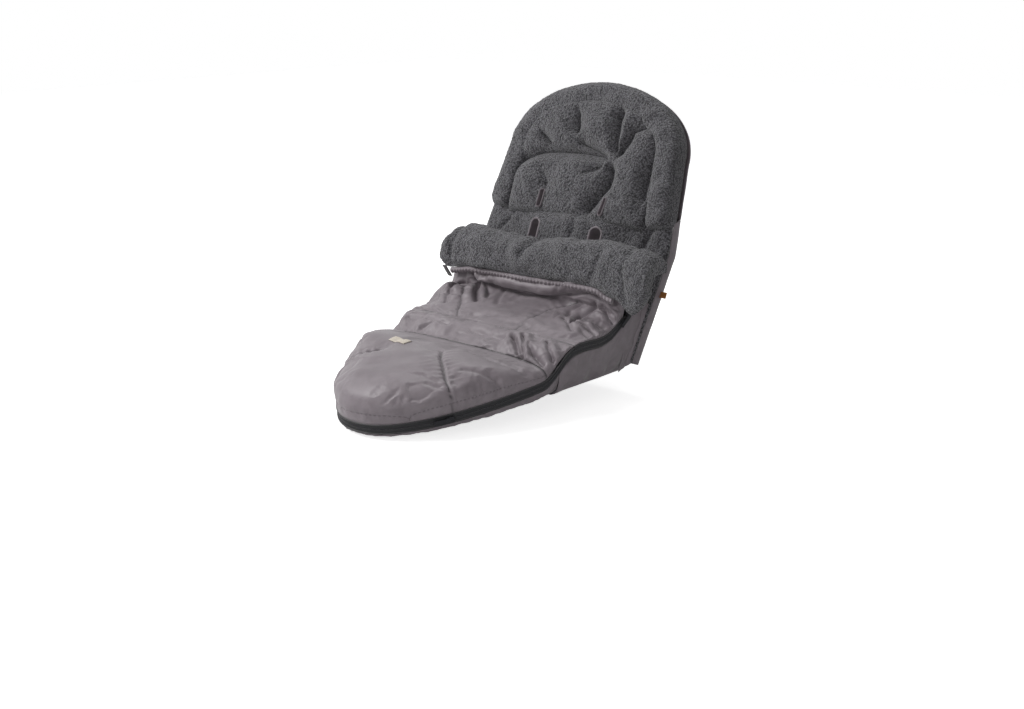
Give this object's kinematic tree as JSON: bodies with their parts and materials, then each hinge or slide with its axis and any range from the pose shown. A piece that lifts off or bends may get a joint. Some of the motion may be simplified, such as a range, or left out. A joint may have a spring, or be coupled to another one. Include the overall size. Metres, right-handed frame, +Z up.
{
  "type": "stroller footmuff",
  "caption": "Padded stroller footmuff with a recline-and-fold back, zipped apron with a turned-down pile cuff, and a zip-off foot cover, in warm grey satin with dark grey pile lining.",
  "frame": {"origin": "centre of the seat pad's flat underside", "axes": "+X to the right when looking from the foot end to the head end; +Y along the length, from the feet to the head; +Z up out of the seat"},
  "size_m": [0.514, 0.7379, 0.5458],
  "materials": {
    "seat_shell": "satin weave",
    "seat_wadding": "matt fibre",
    "seat_lining": "short curly pile",
    "crotch_slot_binding": "ribbed tape",
    "right_wall_shell": "satin weave",
    "right_wall_lining": "short curly pile",
    "left_wall_shell": "satin weave",
    "left_wall_lining": "short curly pile",
    "right_lower_zip_tape": "woven tape with moulded coil",
    "right_upper_zip_tape": "woven tape with moulded coil",
    "left_lower_zip_tape": "woven tape with moulded coil",
    "left_upper_zip_tape": "woven tape with moulded coil",
    "sole_shell": "satin weave",
    "sole_wadding": "matt fibre",
    "sole_lining": "short curly pile",
    "foot_wall_shell": "satin weave",
    "foot_wall_lining": "short curly pile",
    "toe_lower_zip_tape": "woven tape with moulded coil",
    "toe_upper_zip_tape": "woven tape with moulded coil",
    "foot_cover_shell": "satin weave",
    "foot_cover_wadding": "matt fibre",
    "foot_cover_lining": "short curly pile",
    "knee_shell": "satin weave",
    "knee_wadding": "matt fibre",
    "knee_lining": "short curly pile",
    "right_knee_zip_tape": "woven tape with moulded coil",
    "left_knee_zip_tape": "woven tape with moulded coil",
    "apron_shell": "satin weave",
    "apron_wadding": "matt fibre",
    "apron_lining": "short curly pile",
    "cuff": "short curly pile",
    "cuff_hem_band": "ribbed tape",
    "back_shell": "satin weave",
    "back_wadding": "matt fibre",
    "waist_lining": "short curly pile",
    "head_lining": "short curly pile",
    "hood_rim": "short curly pile",
    "right_waist_slot_binding": "ribbed tape",
    "right_shoulder_slit_binding": "ribbed tape",
    "right_lap_slot_binding": "ribbed tape",
    "left_waist_slot_binding": "ribbed tape",
    "left_shoulder_slit_binding": "ribbed tape",
    "left_lap_slot_binding": "ribbed tape",
    "right_slider": "dark enamel",
    "right_pull": "dark enamel",
    "left_slider": "dark enamel",
    "left_pull": "dark enamel",
    "toe_slider": "dark enamel",
    "toe_pull": "dark enamel",
    "label": "matt",
    "side_tag": "matt",
    "cuff_tab": "ribbed tape"
  },
  "bodies": {
    "seat": {"seat_shell": "seat_shell", "seat_wadding": "seat_wadding", "seat_lining": "seat_lining", "crotch_slot_binding": "crotch_slot_binding", "right_wall_shell": "right_wall_shell", "right_wall_lining": "right_wall_lining", "left_wall_shell": "left_wall_shell", "left_wall_lining": "left_wall_lining", "right_lower_zip_tape": "right_lower_zip_tape", "left_lower_zip_tape": "left_lower_zip_tape"},
    "apron": {"right_upper_zip_tape": "right_upper_zip_tape", "left_upper_zip_tape": "left_upper_zip_tape", "apron_shell": "apron_shell", "apron_wadding": "apron_wadding", "apron_lining": "apron_lining"},
    "foot": {"sole_shell": "sole_shell", "sole_wadding": "sole_wadding", "sole_lining": "sole_lining", "foot_wall_shell": "foot_wall_shell", "foot_wall_lining": "foot_wall_lining", "toe_lower_zip_tape": "toe_lower_zip_tape", "knee_shell": "knee_shell", "knee_wadding": "knee_wadding", "knee_lining": "knee_lining", "right_knee_zip_tape": "right_knee_zip_tape", "left_knee_zip_tape": "left_knee_zip_tape"},
    "foot_cover": {"toe_upper_zip_tape": "toe_upper_zip_tape", "foot_cover_shell": "foot_cover_shell", "foot_cover_wadding": "foot_cover_wadding", "foot_cover_lining": "foot_cover_lining", "label": "label"},
    "cuff": {"cuff": "cuff", "cuff_hem_band": "cuff_hem_band", "cuff_tab": "cuff_tab"},
    "back": {"back_shell": "back_shell", "back_wadding": "back_wadding", "waist_lining": "waist_lining", "head_lining": "head_lining", "hood_rim": "hood_rim", "right_waist_slot_binding": "right_waist_slot_binding", "right_shoulder_slit_binding": "right_shoulder_slit_binding", "right_lap_slot_binding": "right_lap_slot_binding", "left_waist_slot_binding": "left_waist_slot_binding", "left_shoulder_slit_binding": "left_shoulder_slit_binding", "left_lap_slot_binding": "left_lap_slot_binding", "side_tag": "side_tag"},
    "right_slider": {"right_slider": "right_slider"},
    "right_pull": {"right_pull": "right_pull"},
    "left_slider": {"left_slider": "left_slider"},
    "left_pull": {"left_pull": "left_pull"},
    "toe_slider": {"toe_slider": "toe_slider"},
    "toe_pull": {"toe_pull": "toe_pull"}
  },
  "joints": [
    {"name": "back_recline", "type": "hinge", "parent": "seat", "child": "back", "pos_m": [0, 0.125, 0], "axis": [-1, 0, 0], "range_deg": [0, 55]},
    {"name": "leg_drop", "type": "hinge", "parent": "seat", "child": "foot", "pos_m": [0, -0.1, 0], "axis": [1, 0, 0], "range_deg": [0, 60]},
    {"name": "toe_open", "type": "hinge", "parent": "foot", "child": "foot_cover", "pos_m": [0, -0.13134, 0.06896], "axis": [-1, 0, 0], "range_deg": [0, 60]},
    {"name": "apron_open", "type": "hinge", "parent": "seat", "child": "apron", "pos_m": [0, -0.06, 0.09169], "axis": [1, 0, 0], "range_deg": [0, 120]},
    {"name": "cuff_turn", "type": "hinge", "parent": "apron", "child": "cuff", "pos_m": [0, 0.10851, 0.2042], "axis": [-1, 0, 0], "range_deg": [0, 95]},
    {"name": "right_zip_run", "type": "slide", "parent": "seat", "child": "right_slider", "axis": [0, -0.8251, -0.565], "range_m": [0, 0.045]},
    {"name": "right_pull_swing", "type": "hinge", "parent": "right_slider", "child": "right_pull", "pos_m": [0.2112, 0.098, 0.1148], "axis": [0, -0.565, 0.8251], "range_deg": [0, 160]},
    {"name": "left_zip_run", "type": "slide", "parent": "seat", "child": "left_slider", "axis": [0, -0.8251, -0.565], "range_m": [0, 0.045]},
    {"name": "left_pull_swing", "type": "hinge", "parent": "left_slider", "child": "left_pull", "pos_m": [-0.2112, 0.098, 0.1148], "axis": [0, 0.565, -0.8251], "range_deg": [0, 160]},
    {"name": "toe_zip_run", "type": "slide", "parent": "foot", "child": "toe_slider", "axis": [0.4949, 0.8605, 0.1209], "range_m": [0, 0.07]},
    {"name": "toe_pull_swing", "type": "hinge", "parent": "toe_slider", "child": "toe_pull", "pos_m": [0.1384, -0.30814, -0.00483], "axis": [0, -0.1392, 0.9903], "range_deg": [0, 160]}
  ]
}
